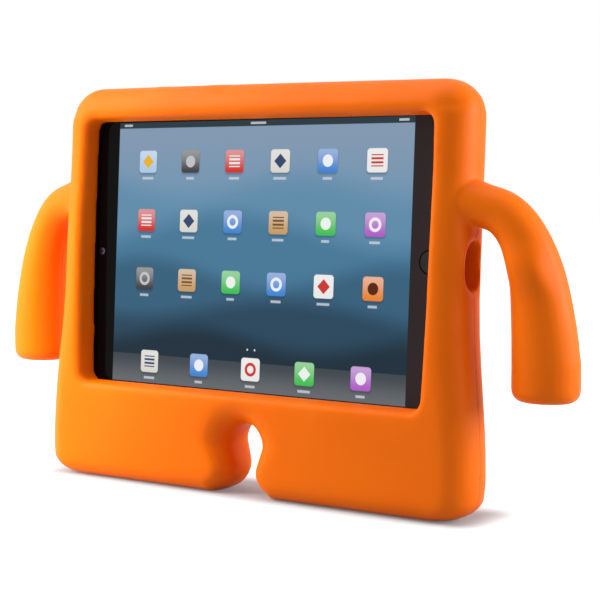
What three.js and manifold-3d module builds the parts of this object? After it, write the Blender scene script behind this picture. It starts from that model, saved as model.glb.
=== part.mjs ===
// Child's foam tablet case with two arm handles, standing on its own feet, with a small
// tablet seated in it. Millimetres, +Z up, +X to the viewer's right, the screen faces -Y.
import * as THREE from "three";
import { mergeVertices } from "three/addons/utils/BufferGeometryUtils.js";
import Module from "manifold-3d";

const wasm = await Module();
wasm.setup();

// Tablet, lying on its long side with the home button on the right
const tabletLength = 200;
const tabletHeight = 134.7;
const tabletThickness = 7.2;
const tabletCornerRadius = 11;
const tabletBackRadius = 3;
const shellWall = 1.6;
const shellBackWall = 1;
const shellRim = 0.8;
const glassThickness = 0.9;
const screenLength = 160.5;
const screenHeight = 120.4;
const seat = 0.3;

// Foam case around the tablet
const lean = THREE.MathUtils.degToRad(3.44);
const endWall = 8.3;
const topWall = 8.15;
const sillHeight = 38.15;
const lipDepth = 11;
const lipTuckTop = 1.5;
const lipTuckFoot = 1.8;
const backWall = 10.6;
const edgeRadius = 12;
const backEdgeRadius = 11;
const topCornerRadius = 16;
const footEdgeRadius = 8;
const footCornerWidth = 16;
const footCornerHeight = 11;
const legFlare = 5.9;
const legFlareHeight = 93.5;
const pocketClearance = 0.3;

// Heel: a swelling behind each leg that the case stands back on
const heelDepth = 9;
const heelTop = 64;
const heelBottom = 18;
const heelFromCentre = 20;
const heelFromSide = 3;
const heelInnerRun = 13;
const heelOuterRun = 14;

// Window that frames the screen
const windowEndMargin = 12.8;
const windowEndBow = 1.05;
const windowEndTaper = 0.9;
const windowSideMargin = -0.1;
const windowCornerRadius = 4;
const windowLipRadius = 3.5;
const windowDraft = 1.2;

// Arch between the two legs
const archHeight = 31.3;
const archHalfWidth = 9;
const archFootHalfWidth = 6.3;
const archFrontRadius = 12.5;
const archBackRadius = 8;
const archToeRadius = 12;

// Arm handles: stations from the root in the side wall to the flat lower end
const armRootHeight = 129.6;
const armOpenEnd = 50.2;
const armEndRadius = 5;
const armStations = [
  { out: -14, y: 4.8, z: 0, thick: 11.6, deep: 10.6 },
  { out: -3, y: 5.2, z: 0, thick: 10.8, deep: 10.4 },
  { out: 4.2, y: 6, z: -1.1, thick: 9, deep: 9.9 },
  { out: 11.8, y: 7.4, z: -4.2, thick: 9.2, deep: 10.1 },
  { out: 18.7, y: 8.6, z: -12, thick: 9.7, deep: 10.7 },
  { out: 24.9, y: 9.5, z: -27.4, thick: 11.2, deep: 11.6 },
  { out: 28.3, y: 9.7, z: -48.6, thick: 13.2, deep: 12.4 },
  { out: 29.6, y: 9.8, z: -64.6, thick: 14.3, deep: 12.7 },
];

// Openings in the foam
const portHeight = 20.6;
const portWidth = 10.5;
const portMouth = 1.6;
const portBackset = 1.55;
const portDrop = 1.1;
const jackOpening = 11;
const jackMouth = 3;
const powerOpening = 18;
const volumeOpening = 24;
const slotWidth = 7.4;
const slotMouth = 2.2;
const cameraOpening = 14;
const cameraMouth = 6;

// Pieces of the tablet
const displayGap = 0.8;
const displaySideGap = 2.75;
const displayShare = 0.38;
const homeButtonDiameter = 10;
const homeButtonInset = 10.3;
const homeFlange = 0.9;
const homeThickness = 0.5;
const homeTravel = 0.3;
const buttonTravel = 0.35;
const buttonProud = 0.5;
const flangeThickness = 0.6;
const flangeReach = 0.8;
const flangeLip = 0.4;
const flangeFrontGap = 0.6;
const flangeBackGap = 1.4;
const bracketThickness = 0.4;
const powerLength = 10.5;
const powerHeight = 50;
const volumeLength = 9;
const volumePitch = 12;
const volumeFromEnd = 61;
const cameraInset = 8.5;
const cameraBarrel = 5.4;
const cameraBody = 8.6;
const frontCameraInset = 11;
const frontCameraBody = 6.4;
const socketLength = 8.4;
const socketGap = 0.4;
const socketFloorGap = 0.7;
const socketWall = 0.5;
const socketDepth = 6.5;
const socketBlockWidth = 11;
const socketBackset = 2;
const jackHole = 3.6;
const jackBody = 5;
const jackLength = 13;
const jackFromSide = 12.4;
const jackForward = 0.5;
const speakerLength = 24;
const speakerWidth = 12;
const speakerOffset = 28;
const batteryFrontGap = 0.4;
const batteryGap = 4;
const boardHeight = 26;
const boardThickness = 0.8;
const shieldLength = 84;
const shieldFrontGap = 0.5;

// Places worked out from the sizes above
const screenCentre = sillHeight + tabletHeight / 2;
const caseTop = screenCentre + tabletHeight / 2 + topWall;
const waistHalf = tabletLength / 2 + endWall;
const backDepth = tabletThickness + backWall;
const shellFloor = tabletThickness - shellBackWall;
const glassSeat = glassThickness + seat;
const innerHalfLength = tabletLength / 2 - shellWall;
const innerHalfHeight = tabletHeight / 2 - shellWall;
const volumeCentre = -tabletLength / 2 + volumeFromEnd;
const homeCentre = tabletLength / 2 - homeButtonInset;
const displayLength = 2 * (homeCentre - homeButtonDiameter / 2 - homeFlange - displayGap);
const flangeFront = glassSeat + flangeFrontGap;
const flangeBack = shellFloor - flangeBackGap;
const sideAxisDepth = (flangeFront + flangeBack) / 2;
const buttonThickness = flangeBack - flangeFront - 2 * flangeLip;
const displayHeight = 2 * (innerHalfHeight - displaySideGap);
const displayBack = glassSeat + displayShare * (shellFloor - glassSeat);
const homeBracketFront = glassSeat + homeThickness + homeTravel + seat;
const socketFront = homeBracketFront + bracketThickness + socketGap;
const socketBack = shellFloor - socketFloorGap;
const socketThickness = socketBack - socketFront;
const socketAxisDepth = (socketFront + socketBack) / 2;
const jackAxisDepth = (glassSeat + tabletThickness) / 2 - jackForward;
const jackCentre = -tabletHeight / 2 + jackFromSide;
const tabletFrame = new THREE.Matrix4()
  .makeTranslation(0, 0, screenCentre)
  .multiply(new THREE.Matrix4().makeRotationX(-lean));

const foam = new THREE.MeshStandardMaterial({ color: 0xee8a2a, roughness: 0.75, metalness: 0 });
const aluminium = new THREE.MeshStandardMaterial({ color: 0xb9bcc0, roughness: 0.35, metalness: 1 });
const glass = new THREE.MeshStandardMaterial({ color: 0x0b0b0d, roughness: 0.06, metalness: 0 });
const panel = new THREE.MeshStandardMaterial({ color: 0x2b4a63, roughness: 0.4, metalness: 0 });
const blackPlastic = new THREE.MeshStandardMaterial({ color: 0x151517, roughness: 0.4, metalness: 0 });
const steel = new THREE.MeshStandardMaterial({ color: 0x9a9c9e, roughness: 0.3, metalness: 1 });
const cellWrap = new THREE.MeshStandardMaterial({ color: 0x3a3d42, roughness: 0.55, metalness: 0 });
const circuit = new THREE.MeshStandardMaterial({ color: 0x1d5a3c, roughness: 0.5, metalness: 0 });

function smooth(value, start, end) {
  return THREE.MathUtils.smoothstep(value, start, end);
}

// Counterclockwise outline with elliptical corners, given in the order
// right-back, left-back, left-front, right-front. Points that coincide are left out.
function cornerOutline(left, right, front, back, corners, steps) {
  const centres = [
    [right, back, -1, -1, 0],
    [left, back, 1, -1, 1],
    [left, front, 1, 1, 2],
    [right, front, -1, 1, 3],
  ];
  const points = [];
  centres.forEach(([x, y, inX, inY, quarter]) => {
    const { rx, ry } = corners[quarter];
    for (let step = 0; step <= steps; step += 1) {
      const angle = (quarter + step / steps) * Math.PI / 2;
      const point = new THREE.Vector2(
        x + inX * rx + rx * Math.cos(angle),
        y + inY * ry + ry * Math.sin(angle),
      );
      if (points.length === 0 || point.distanceTo(points[points.length - 1]) > 1e-4) {
        points.push(point);
      }
    }
  });
  if (points[0].distanceTo(points[points.length - 1]) < 1e-4) {
    points.pop();
  }
  return points;
}

function roundedRect(halfU, halfV, radius, steps = 5) {
  const corner = { rx: radius, ry: radius };
  return cornerOutline(-halfU, halfU, -halfV, halfV, [corner, corner, corner, corner], steps);
}

// Closed skin through outlines of equally many points, with a flat cap at each end.
// place turns an outline point and its level into a point in space.
function loft(levels, place) {
  const count = levels[0].outline.length;
  const positions = [];
  levels.forEach(({ level, outline }) => {
    outline.forEach((point) => positions.push(...place(point.x, point.y, level).toArray()));
  });
  const index = [];
  for (let ring = 0; ring < levels.length - 1; ring += 1) {
    for (let i = 0; i < count; i += 1) {
      const next = (i + 1) % count;
      const a = ring * count + i;
      const b = ring * count + next;
      index.push(a, b, b + count, a, b + count, a + count);
    }
  }
  const last = (levels.length - 1) * count;
  THREE.ShapeUtils.triangulateShape(levels[0].outline, []).forEach(([a, b, c]) => index.push(a, c, b));
  THREE.ShapeUtils.triangulateShape(levels[levels.length - 1].outline, [])
    .forEach(([a, b, c]) => index.push(last + a, last + b, last + c));
  const geometry = new THREE.BufferGeometry();
  geometry.setAttribute("position", new THREE.Float32BufferAttribute(positions, 3));
  geometry.setIndex(index);
  return geometry;
}

function signedVolume(vertices, triangles) {
  const corner = (i) => new THREE.Vector3().fromArray(vertices, 3 * triangles[i]);
  let total = 0;
  for (let i = 0; i < triangles.length; i += 3) {
    total += corner(i).dot(corner(i + 1).cross(corner(i + 2)));
  }
  return total / 6;
}

// Solid of a closed geometry, turned to face outwards.
function solid(geometry, matrix = new THREE.Matrix4()) {
  const bare = geometry.clone();
  bare.deleteAttribute("normal");
  bare.deleteAttribute("uv");
  bare.applyMatrix4(matrix);
  const merged = mergeVertices(bare, 1e-4);
  const vertices = Float32Array.from(merged.attributes.position.array);
  const triangles = Uint32Array.from(merged.index.array);
  if (signedVolume(vertices, triangles) < 0) {
    triangles.reverse();
  }
  return new wasm.Manifold(new wasm.Mesh({ numProp: 3, vertProperties: vertices, triVerts: triangles }));
}

function geometryOf(manifold) {
  const mesh = manifold.getMesh();
  const geometry = new THREE.BufferGeometry();
  geometry.setAttribute("position", new THREE.Float32BufferAttribute(mesh.vertProperties, 3));
  geometry.setIndex(Array.from(mesh.triVerts));
  const flat = geometry.toNonIndexed();
  flat.computeVertexNormals();
  return flat;
}

function union(...solids) {
  return solids.reduce((whole, next) => whole.add(next));
}

function cut(body, ...cutters) {
  return cutters.reduce((rest, cutter) => rest.subtract(cutter), body);
}

// Ways to place an outline: thickness axis along Y, along X or along Z
const alongY = (u, v, level) => new THREE.Vector3(u, level, v);
const alongX = (u, v, level) => new THREE.Vector3(level, u, v);
const alongZ = (u, v, level) => new THREE.Vector3(u, v, level);

function shifted(place, x, y, z) {
  return (u, v, level) => place(u, v, level).add(new THREE.Vector3(x, y, z));
}

// Plate or block with rounded corners between two levels
function block(halfU, halfV, radius, from, to, place, steps = 4) {
  const outline = roundedRect(halfU, halfV, radius, steps);
  return solid(loft([{ level: from, outline }, { level: to, outline }], place));
}

// Cutter for a hole whose mouth is rounded over at the face that it opens in
function mouthCutter(outlineAt, from, face, mouth, place, matrix) {
  const side = Math.sign(face - from);
  const levels = [{ level: from, outline: outlineAt(0) }];
  const arcSteps = 5;
  for (let step = 0; step <= arcSteps; step += 1) {
    const angle = step / arcSteps * Math.PI / 2;
    const level = face - side * mouth * (1 - Math.sin(angle));
    levels.push({ level, outline: outlineAt(mouth * (1 - Math.cos(angle))) });
  }
  levels.push({ level: face + side * mouth, outline: outlineAt(mouth) });
  return solid(loft(levels, place), matrix);
}

function stadiumAt(halfU, halfV, steps) {
  return (grow) => roundedRect(halfU + grow, halfV + grow, Math.min(halfU, halfV) + grow, steps);
}

// Foam body: horizontal sections from the soles to the fully rounded top
function bodyHalfWidth(height) {
  return waistHalf + legFlare * (1 - smooth(height, legFlareHeight - 80, legFlareHeight));
}

// How far the front face stands before the glass: less at the top and at the feet
function frontDepth(height) {
  return lipDepth - lipTuckTop * smooth(height, screenCentre, caseTop - 30)
    - lipTuckFoot * (1 - smooth(height, 5, 55));
}

// How far the rounding of the soles' edges cuts in at a height
function footInset(height) {
  const above = Math.min(height, footEdgeRadius);
  return footEdgeRadius - Math.sqrt(footEdgeRadius ** 2 - (footEdgeRadius - above) ** 2);
}

// How far the outer ends of the feet round in at a height
function footCornerInset(height) {
  const below = 1 - Math.min(height, footCornerHeight) / footCornerHeight;
  return footCornerWidth * (1 - Math.sqrt(1 - below ** 2));
}

// How far the heel stands out behind the back face, at a place across a section
function heelRise(across, height, halfWidth) {
  const outerEnd = halfWidth - heelFromSide;
  return heelDepth
    * (1 - smooth(height, heelBottom, heelTop))
    * smooth(across, heelFromCentre, heelFromCentre + heelInnerRun)
    * (1 - smooth(across, outerEnd - heelOuterRun, outerEnd));
}

function bodySection(height) {
  const below = caseTop - height;
  const footCut = footInset(height);
  let halfWidth = bodyHalfWidth(height) - footCornerInset(height);
  let topInset = 0;
  let cornerWidth = edgeRadius;
  if (below < topCornerRadius) {
    const rise = topCornerRadius - below;
    const reach = Math.sqrt(topCornerRadius ** 2 - rise ** 2);
    const core = topCornerRadius - edgeRadius;
    halfWidth += reach - topCornerRadius;
    cornerWidth = reach - Math.sqrt(Math.max(0, core ** 2 - rise ** 2));
  }
  if (below < edgeRadius) {
    topInset = edgeRadius - Math.sqrt(edgeRadius ** 2 - (edgeRadius - below) ** 2);
  }
  const inset = Math.max(footCut, topInset);
  const front = inset - frontDepth(height);
  const back = backDepth - inset;
  const frontCorner = { rx: cornerWidth, ry: edgeRadius - inset };
  const backShare = backEdgeRadius / edgeRadius;
  const backCorner = { rx: frontCorner.rx * backShare, ry: frontCorner.ry * backShare };
  const corners = [backCorner, backCorner, frontCorner, frontCorner];
  const cornerSteps = 7;
  const ring = cornerOutline(-halfWidth, halfWidth, front, back, corners, cornerSteps);
  const places = heelPlaces(halfWidth - backCorner.rx, halfWidth - heelFromSide - heelOuterRun);
  ring.splice(cornerSteps + 1, 0, ...places.map((x) => new THREE.Vector2(x, back)));
  const backCount = 2 * (cornerSteps + 1) + places.length;
  ring.slice(0, backCount).forEach((point) => {
    point.y += heelRise(Math.abs(point.x), height, halfWidth);
  });
  return ring;
}

// Places across the back face, from right to left, where the heels rise and fall
function heelPlaces(flatEnd, outerStart) {
  const steps = 4;
  const half = [];
  for (let step = 1; step <= steps; step += 1) {
    half.push(flatEnd + (outerStart - flatEnd) * step / steps);
  }
  for (let step = 0; step <= steps; step += 1) {
    half.push(heelFromCentre + heelInnerRun * (1 - step / steps));
  }
  return [...half, ...half.slice().reverse().map((x) => -x)];
}

function bodyHeights() {
  const heights = [];
  const footSteps = 5;
  for (let step = 0; step <= footSteps; step += 1) {
    heights.push(footEdgeRadius * (1 - Math.cos(step / footSteps * Math.PI / 2)));
  }
  const sideEnd = caseTop - topCornerRadius;
  const heelSteps = 9;
  for (let step = 1; step <= heelSteps; step += 1) {
    heights.push(footEdgeRadius + (heelTop - footEdgeRadius) * step / heelSteps);
  }
  const sideSteps = 8;
  for (let step = 1; step <= sideSteps; step += 1) {
    heights.push(heelTop + (sideEnd - heelTop) * step / sideSteps);
  }
  const shoulderSteps = 3;
  for (let step = 1; step < shoulderSteps; step += 1) {
    heights.push(sideEnd + (topCornerRadius - edgeRadius) * step / shoulderSteps);
  }
  const topSteps = 8;
  for (let step = 0; step < topSteps; step += 1) {
    heights.push(caseTop - edgeRadius * (1 - Math.sin(step / topSteps * Math.PI / 2)));
  }
  return heights;
}

function leaned(x, y, height) {
  return new THREE.Vector3(x, y + (height - screenCentre) * Math.tan(lean), height);
}

function foamBody() {
  const levels = bodyHeights().map((height) => ({ level: height, outline: bodySection(height) }));
  const crown = bodySection(caseTop - 0.004 * edgeRadius);
  levels.push({ level: caseTop, outline: crown });
  return solid(loft(levels, leaned));
}

// One arm: sections across a curved centre line, ending in a flat, rounded tip
function armHandle(side) {
  const centreLine = new THREE.CatmullRomCurve3(
    armStations.map(({ out, y, z }) => new THREE.Vector3(waistHalf + out, y, armRootHeight + z)),
  );
  const sizes = new THREE.CatmullRomCurve3(
    armStations.map(({ thick, deep }) => new THREE.Vector3(thick, deep, 0)),
  );
  const sections = [];
  const steps = 26;
  for (let step = 0; step <= steps; step += 1) {
    const t = step / steps;
    const tangent = centreLine.getTangent(t);
    const size = sizes.getPoint(t);
    const across = new THREE.Vector3(-tangent.z, 0, tangent.x).normalize();
    sections.push({ centre: centreLine.getPoint(t), across, thick: size.x, deep: size.y });
  }
  const end = sections[sections.length - 1];
  const tipSteps = 4;
  for (let step = 0; step <= tipSteps; step += 1) {
    const angle = step / tipSteps * Math.PI / 2;
    const centre = end.centre.clone();
    centre.z = armOpenEnd + armEndRadius * (1 - Math.sin(angle));
    const inset = armEndRadius * (1 - Math.cos(angle));
    const across = new THREE.Vector3(1, 0, 0);
    sections.push({ centre, across, thick: end.thick - inset, deep: end.deep - inset });
  }
  const around = 28;
  const levels = sections.map((section) => {
    const outline = [];
    for (let i = 0; i < around; i += 1) {
      const angle = i / around * 2 * Math.PI;
      outline.push(new THREE.Vector2(section.thick * Math.cos(angle), section.deep * Math.sin(angle)));
    }
    return { level: section, outline };
  });
  const place = (u, v, section) => {
    const point = section.centre.clone().addScaledVector(section.across, u);
    point.y += v;
    point.x *= side;
    return point;
  };
  return solid(loft(levels, place));
}

// Arch between the legs, seen from the front, grown by a share of a rounding that is
// smaller at the toes
function archOutline(radius, share) {
  const points = [];
  const springing = archHeight - archHalfWidth;
  const arcSteps = 6;
  const add = (x, z, normalX, normalZ) => {
    const local = footEdgeRadius + (radius - footEdgeRadius) * smooth(z, archToeRadius, springing);
    points.push(new THREE.Vector2(x + share * local * normalX, z + share * local * normalZ));
  };
  const half = [[archFootHalfWidth + archToeRadius, -footEdgeRadius, 1, 0]];
  for (let step = 1; step <= arcSteps; step += 1) {
    const angle = step / arcSteps * Math.PI / 2;
    const x = archFootHalfWidth + archToeRadius * (1 - Math.sin(angle));
    const z = archToeRadius * (1 - Math.cos(angle));
    half.push([x, z, Math.sin(angle), Math.cos(angle)]);
  }
  for (let step = 0; step <= arcSteps; step += 1) {
    const angle = step / arcSteps * Math.PI / 2;
    const outX = Math.cos(angle);
    const outZ = Math.sin(angle);
    half.push([archHalfWidth * outX, springing + archHalfWidth * outZ, outX, outZ]);
  }
  half.forEach(([x, z, normalX, normalZ]) => add(x, z, normalX, normalZ));
  half.slice(0, -1).reverse().forEach(([x, z, normalX, normalZ]) => add(-x, z, -normalX, normalZ));
  return points;
}

function archCutter() {
  const turns = 5;
  const levels = [];
  const add = (face, radius, depth, share) => {
    levels.push({ level: { face, depth }, outline: archOutline(radius, share) });
  };
  add("front", archFrontRadius, -archFrontRadius, 1);
  for (let step = 0; step <= turns; step += 1) {
    const angle = step / turns * Math.PI / 2;
    add("front", archFrontRadius, archFrontRadius * (1 - Math.cos(angle)), 1 - Math.sin(angle));
  }
  for (let step = 0; step <= turns; step += 1) {
    const angle = step / turns * Math.PI / 2;
    add("back", archBackRadius, archBackRadius * (1 - Math.sin(angle)), 1 - Math.cos(angle));
  }
  add("back", archBackRadius, -archBackRadius, 1);
  const place = (x, z, { face, depth }) => {
    const y = face === "front" ? depth - frontDepth(z) : backDepth - depth;
    return leaned(x, y, z);
  };
  return solid(loft(levels, place));
}

// Pocket that the tablet sits in, and the window in front of it
function pocketCutter() {
  const grow = pocketClearance;
  return solid(tabletForm(grow), tabletFrame);
}

// Tablet's outer form, grown by a clearance on every side
function tabletForm(grow) {
  const outlineAt = (inset) => roundedRect(
    tabletLength / 2 + grow - inset,
    tabletHeight / 2 + grow - inset,
    tabletCornerRadius + grow - inset,
    6,
  );
  const levels = [{ level: -grow, outline: outlineAt(0) }];
  const steps = 4;
  for (let step = 0; step <= steps; step += 1) {
    const angle = step / steps * Math.PI / 2;
    levels.push({
      level: tabletThickness + grow - tabletBackRadius * (1 - Math.sin(angle)),
      outline: outlineAt(tabletBackRadius * (1 - Math.cos(angle))),
    });
  }
  return loft(levels, alongY);
}

// Window outline with points down its two ends, so that they can bow
function windowOutline(grow) {
  const halfLength = screenLength / 2 + windowEndMargin + grow;
  const halfHeight = screenHeight / 2 + windowSideMargin + grow;
  const radius = windowCornerRadius + grow;
  const ring = roundedRect(halfLength, halfHeight, radius, 6);
  const endSteps = 6;
  const heights = [];
  for (let step = 1; step < endSteps; step += 1) {
    heights.push((halfHeight - radius) * (1 - 2 * step / endSteps));
  }
  ring.splice(ring.length / 2, 0, ...heights.map((z) => new THREE.Vector2(-halfLength, z)));
  ring.push(...heights.map((z) => new THREE.Vector2(halfLength, -z)));
  return ring;
}

// How much nearer the window's ends stand at a height: most at the bottom, least at mid-height
function windowNarrowing(z) {
  const share = z / (screenHeight / 2 + windowSideMargin);
  return windowEndBow * share ** 2 + windowEndTaper * (1 - share) / 2;
}

function windowCutter() {
  const levels = [
    { level: tabletThickness / 2, outline: windowOutline(0) },
    { level: 0, outline: windowOutline(0) },
  ];
  const steps = 5;
  for (let step = 0; step <= steps; step += 1) {
    const angle = step / steps * Math.PI / 2;
    levels.push({
      level: -lipDepth + windowLipRadius * (1 - Math.sin(angle)),
      outline: windowOutline(windowDraft + windowLipRadius * (1 - Math.cos(angle))),
    });
  }
  levels.push({ level: -lipDepth - edgeRadius, outline: windowOutline(windowDraft + windowLipRadius) });
  const halfLength = screenLength / 2 + windowEndMargin;
  const place = (x, z, y) => {
    const tuck = y < 0 ? lipDepth - frontDepth(screenCentre + z) : 0;
    const narrowed = x * (1 - windowNarrowing(z) / halfLength);
    return new THREE.Vector3(narrowed, y + tuck, z);
  };
  return solid(loft(levels, place), tabletFrame);
}

// Holes that let a finger or a plug reach the tablet's edge
function sideOpenings() {
  const inside = tabletLength / 2 - 2;
  const topInside = tabletHeight / 2 - 2;
  const port = mouthCutter(
    stadiumAt(portWidth / 2, portHeight / 2, 6),
    inside,
    waistHalf,
    portMouth,
    shifted(alongX, 0, sideAxisDepth + portBackset, -portDrop),
    tabletFrame,
  );
  const jack = mouthCutter(
    stadiumAt(jackOpening / 2, jackOpening / 2, 4),
    -inside,
    -bodyHalfWidth(screenCentre + jackCentre),
    jackMouth,
    shifted(alongX, 0, jackAxisDepth, jackCentre),
    tabletFrame,
  );
  const power = mouthCutter(
    stadiumAt(slotWidth / 2, powerOpening / 2, 5),
    -inside,
    -waistHalf,
    slotMouth,
    shifted(alongX, 0, sideAxisDepth, powerHeight),
    tabletFrame,
  );
  const volume = mouthCutter(
    stadiumAt(volumeOpening / 2, slotWidth / 2, 5),
    topInside,
    tabletHeight / 2 + topWall,
    slotMouth,
    shifted(alongZ, volumeCentre, sideAxisDepth, 0),
    tabletFrame,
  );
  const camera = mouthCutter(
    stadiumAt(cameraOpening / 2, cameraOpening / 2, 6),
    tabletThickness / 2,
    backDepth,
    cameraMouth,
    shifted(alongY, -tabletLength / 2 + cameraInset, 0, tabletHeight / 2 - cameraInset),
    tabletFrame,
  );
  return [port, jack, power, volume, camera];
}

function foamCase() {
  const body = union(foamBody(), armHandle(1), armHandle(-1));
  return cut(body, archCutter(), pocketCutter(), windowCutter(), ...sideOpenings());
}

// Aluminium shell: a tray that is open at the front, with a ledge for the glass
function tabletShell() {
  const radius = tabletCornerRadius;
  const innerRadius = radius - shellWall;
  const glassHole = block(
    tabletLength / 2 - shellRim,
    tabletHeight / 2 - shellRim,
    radius - shellRim,
    -1,
    glassSeat,
    alongY,
    6,
  );
  const innerBack = tabletBackRadius - shellBackWall;
  const outlineAt = (inset) => roundedRect(
    innerHalfLength - inset,
    innerHalfHeight - inset,
    innerRadius - inset,
    6,
  );
  const levels = [{ level: glassSeat - 0.1, outline: outlineAt(0) }];
  const steps = 3;
  for (let step = 0; step <= steps; step += 1) {
    const angle = step / steps * Math.PI / 2;
    levels.push({
      level: shellFloor - innerBack * (1 - Math.sin(angle)),
      outline: outlineAt(innerBack * (1 - Math.cos(angle))),
    });
  }
  const inside = solid(loft(levels, alongY));
  const slotHalf = buttonThickness / 2 + seat;
  const endCut = tabletLength / 2 + 1;
  const topCut = tabletHeight / 2 + 1;
  const powerSlot = block(
    slotHalf,
    powerLength / 2 + seat,
    slotHalf,
    -endCut,
    -innerHalfLength + 0.5,
    shifted(alongX, 0, sideAxisDepth, powerHeight),
  );
  const volumeSlots = [-1, 1].map((side) => block(
    volumeLength / 2 + seat,
    slotHalf,
    slotHalf,
    innerHalfHeight - 0.5,
    topCut,
    shifted(alongZ, volumeCentre + side * volumePitch / 2, sideAxisDepth, 0),
  ));
  const socketSlot = block(
    socketThickness / 2 + seat,
    socketLength / 2 + seat,
    socketThickness / 2 + seat,
    innerHalfLength - socketBackset,
    endCut,
    shifted(alongX, 0, socketAxisDepth, 0),
  );
  const jackSlot = block(
    jackHole / 2 + seat,
    jackHole / 2 + seat,
    jackHole / 2 + seat,
    -endCut,
    -innerHalfLength + innerBack,
    shifted(alongX, 0, jackAxisDepth, jackCentre),
  );
  const cameraHole = block(
    cameraBarrel / 2 + seat,
    cameraBarrel / 2 + seat,
    cameraBarrel / 2 + seat,
    shellFloor - 0.5,
    tabletThickness + 1,
    shifted(alongY, -tabletLength / 2 + cameraInset, 0, tabletHeight / 2 - cameraInset),
    6,
  );
  return cut(
    solid(tabletForm(0)),
    glassHole,
    inside,
    powerSlot,
    ...volumeSlots,
    socketSlot,
    jackSlot,
    cameraHole,
  );
}

function coverGlass() {
  const margin = shellRim + seat;
  const sheet = block(
    tabletLength / 2 - margin,
    tabletHeight / 2 - margin,
    tabletCornerRadius - margin,
    0,
    glassThickness,
    alongY,
    6,
  );
  const radius = homeButtonDiameter / 2 + seat;
  const hole = block(radius, radius, radius, -1, glassThickness + 1, shifted(alongY, homeCentre, 0, 0), 8);
  return cut(sheet, hole);
}

// Home button: a dished disc on a flange that catches behind the glass
function homeButton() {
  const radius = homeButtonDiameter / 2;
  const dish = 0.35;
  const rim = 0.25;
  const profile = [
    new THREE.Vector2(0, dish),
    new THREE.Vector2(radius * 0.45, dish * 0.8),
    new THREE.Vector2(radius * 0.75, dish * 0.35),
    new THREE.Vector2(radius - 2 * rim, 0.03),
    new THREE.Vector2(radius - rim, 0),
    new THREE.Vector2(radius, rim),
    new THREE.Vector2(radius, glassSeat),
    new THREE.Vector2(radius + homeFlange, glassSeat),
    new THREE.Vector2(radius + homeFlange, glassSeat + homeThickness),
    new THREE.Vector2(0, glassSeat + homeThickness),
  ];
  const place = new THREE.Matrix4().makeTranslation(homeCentre, 0, 0);
  return solid(new THREE.LatheGeometry(profile, 36), place);
}

function homeBracket() {
  const reach = innerHalfLength - seat - homeCentre;
  const halfLength = (reach + homeButtonDiameter / 2) / 2;
  return block(
    halfLength,
    homeButtonDiameter / 2 + 3,
    1,
    homeBracketFront,
    homeBracketFront + bracketThickness,
    shifted(alongY, homeCentre + reach - halfLength, 0, 0),
  );
}

// Edge button: a stadium cap on a wider flange that catches behind the shell wall.
// Levels run outwards from the flange to the cap's outer face.
function edgeButton(halfLength, wallInside, wallOutside, place, swap) {
  const half = buttonThickness / 2;
  const sized = (a, b) => (swap ? [b, a] : [a, b]);
  const side = Math.sign(wallOutside);
  const flangeOuter = wallInside - side * seat;
  const flange = block(
    ...sized(halfLength + flangeReach, half + flangeLip),
    half + flangeLip,
    flangeOuter - side * flangeThickness,
    flangeOuter,
    place,
  );
  const outer = wallOutside + side * buttonProud;
  const edge = 0.25;
  const outlineAt = (inset) => roundedRect(...sized(halfLength - inset, half - inset), half - inset, 4);
  const levels = [
    { level: flangeOuter - side * flangeThickness / 2, outline: outlineAt(0) },
    { level: outer - side * edge, outline: outlineAt(0) },
    { level: outer, outline: outlineAt(edge) },
  ];
  return union(flange, solid(loft(levels, place)));
}

// Plate that carries the contacts behind one or more edge buttons
function bracketPlate(halfLength, wallInside, place, swap) {
  const side = Math.sign(wallInside);
  const outer = wallInside - side * (seat + flangeThickness + buttonTravel + seat);
  const halfDepth = (shellFloor - seat - glassSeat - seat) / 2;
  const sized = swap ? [halfDepth, halfLength] : [halfLength, halfDepth];
  return block(...sized, 0.5, outer - side * bracketThickness, outer, place);
}

const bracketAxisDepth = (glassSeat + shellFloor) / 2;

function rearCamera() {
  const x = -tabletLength / 2 + cameraInset;
  const z = tabletHeight / 2 - cameraInset;
  const barrel = cameraBarrel / 2;
  const base = block(
    cameraBody / 2,
    cameraBody / 2,
    1,
    glassSeat + seat,
    shellFloor - seat,
    shifted(alongY, x + 1.2, 0, z - 1.2),
  );
  const lens = 0.5;
  const profile = [
    new THREE.Vector2(0, shellFloor - 1),
    new THREE.Vector2(barrel, shellFloor - 1),
    new THREE.Vector2(barrel, tabletThickness - 0.15),
    new THREE.Vector2(barrel - lens, tabletThickness),
    new THREE.Vector2(barrel - 2 * lens, tabletThickness - 0.1),
    new THREE.Vector2(0, tabletThickness - 0.4),
  ];
  const place = new THREE.Matrix4().makeTranslation(x, 0, z);
  return union(base, solid(new THREE.LatheGeometry(profile, 24), place));
}

function frontCamera() {
  const x = -tabletLength / 2 + frontCameraInset;
  return block(
    frontCameraBody / 2,
    frontCameraBody / 2,
    0.8,
    glassSeat,
    shellFloor - seat,
    shifted(alongY, x, 0, 0),
  );
}

// Charging socket: a stadium tube let into the shell's end, on a block behind the wall
function chargingSocket() {
  const outside = tabletLength / 2 - 0.2;
  const halfThick = socketThickness / 2;
  const halfLong = socketLength / 2;
  const place = shifted(alongX, 0, socketAxisDepth, 0);
  const tube = block(halfThick, halfLong, halfThick, outside - socketDepth - 1, outside, place, 5);
  const mouth = block(
    halfThick - socketWall,
    halfLong - socketWall,
    halfThick - socketWall,
    outside - socketDepth,
    outside + 1,
    place,
    5,
  );
  const blockBack = outside - socketDepth - 3;
  const carrierFront = socketFront + socketGap;
  const carrierBack = shellFloor - seat;
  const carrier = block(
    (carrierBack - carrierFront) / 2,
    socketBlockWidth / 2,
    0.5,
    blockBack,
    innerHalfLength - socketBackset,
    shifted(alongX, 0, (carrierFront + carrierBack) / 2, 0),
  );
  return cut(union(tube, carrier), mouth);
}

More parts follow.
